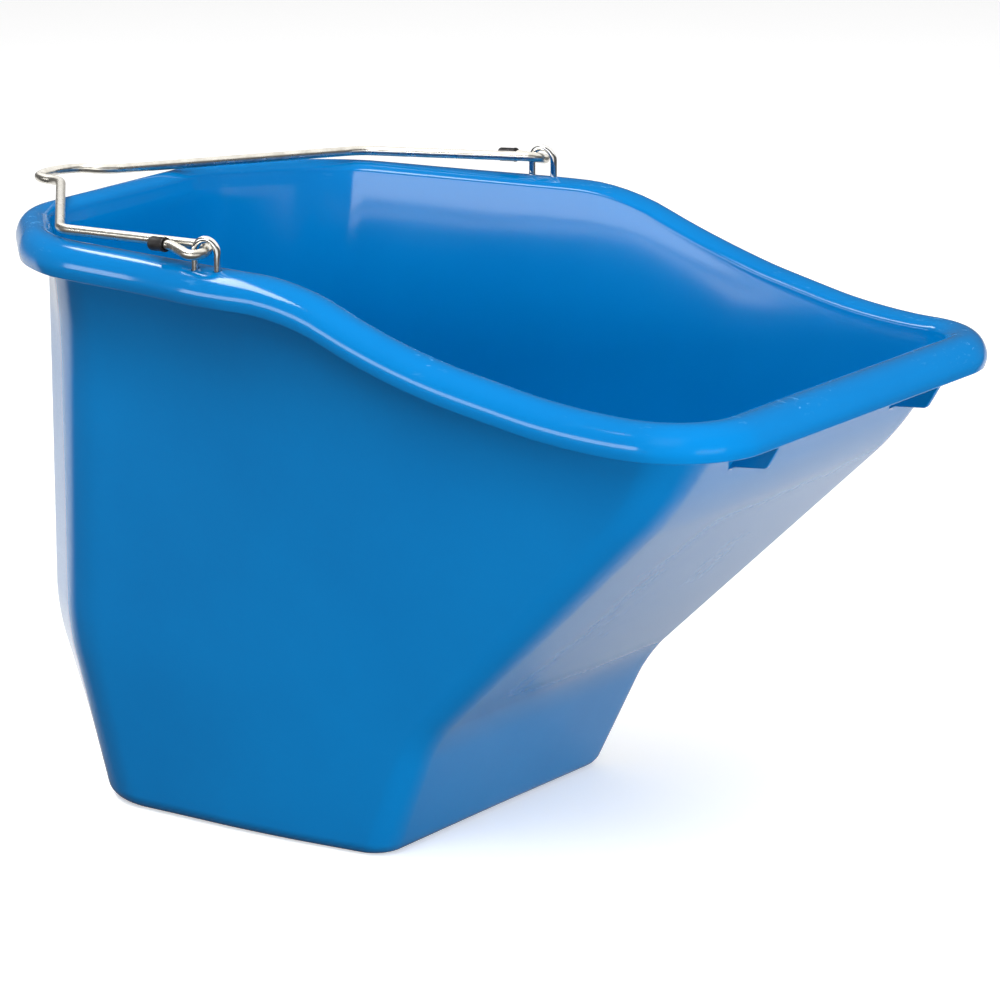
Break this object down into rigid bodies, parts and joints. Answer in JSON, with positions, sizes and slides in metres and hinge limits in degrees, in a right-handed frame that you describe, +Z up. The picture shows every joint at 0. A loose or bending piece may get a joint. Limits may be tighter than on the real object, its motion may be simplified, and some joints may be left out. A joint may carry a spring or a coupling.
{
  "type": "feed bucket",
  "caption": "Moulded feed bucket with a flat back, a long scooped front lip, a rolled rim and a folding wire bail hooked through U-bolts.",
  "frame": {"origin": "on the ground under the middle of the flat base, on the plane of symmetry", "axes": "+X towards the scooped front lip, +Y to the bucket's left, +Z up out of the opening"},
  "size_m": [0.4969, 0.3176, 0.3124],
  "materials": {
    "blue_polyethylene": "moulded, semi-gloss",
    "bright_steel_wire": "drawn and bright zinc plated",
    "chrome_plate": "bright plated",
    "black_vinyl": "matt vinyl",
    "zinc_plate": "zinc plated"
  },
  "bodies": {
    "bucket": {"bucket_body": "blue_polyethylene", "u_bolt_left": "chrome_plate", "u_bolt_right": "chrome_plate", "washer_left_front": "zinc_plate", "washer_left_rear": "zinc_plate", "washer_right_front": "zinc_plate", "washer_right_rear": "zinc_plate", "nut_left_front": "zinc_plate", "nut_left_rear": "zinc_plate", "nut_right_front": "zinc_plate", "nut_right_rear": "zinc_plate"},
    "bail": {"bail_handle": "bright_steel_wire", "bail_end_cap_left": "black_vinyl", "bail_end_cap_right": "black_vinyl"}
  },
  "joints": [
    {"name": "bail_swing", "type": "hinge", "parent": "bucket", "child": "bail", "pos_m": [0.0344, 0, 0.305], "axis": [0, 1, 0], "range_deg": [0, 187]}
  ]
}
